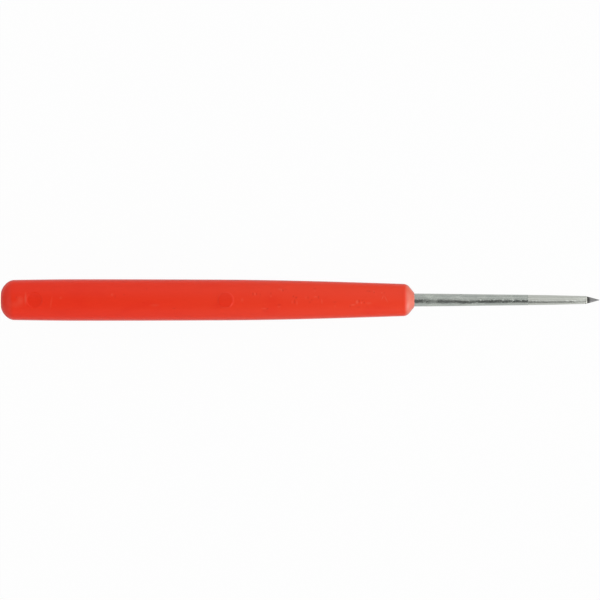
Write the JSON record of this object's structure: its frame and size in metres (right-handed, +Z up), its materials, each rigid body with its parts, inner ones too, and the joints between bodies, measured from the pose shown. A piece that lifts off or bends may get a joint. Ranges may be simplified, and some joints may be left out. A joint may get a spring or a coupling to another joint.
{
  "type": "scriber",
  "caption": "Hand scriber: a slim barrel-shaped plastic grip with a domed butt and conical nose, a tapered steel needle and a brazed carbide scribing point.",
  "frame": {"origin": "on the surface that the scriber lies on, under the middle of its overall length", "axes": "+X along the tool's axis towards the scribing point, +Z up, +Y to the left of someone who looks along +X"},
  "size_m": [0.15, 0.0104, 0.0104],
  "materials": {
    "grip_plastic": "semi-gloss moulded red plastic",
    "needle_steel": "dull bright plating, satin-ground over the front third",
    "carbide": "dark grey ground tungsten carbide",
    "silver_braze": "pale silver braze"
  },
  "bodies": {
    "root": {"grip": "grip_plastic", "needle": "needle_steel", "carbide_point": "carbide", "braze_fillet": "silver_braze"}
  },
  "joints": []
}
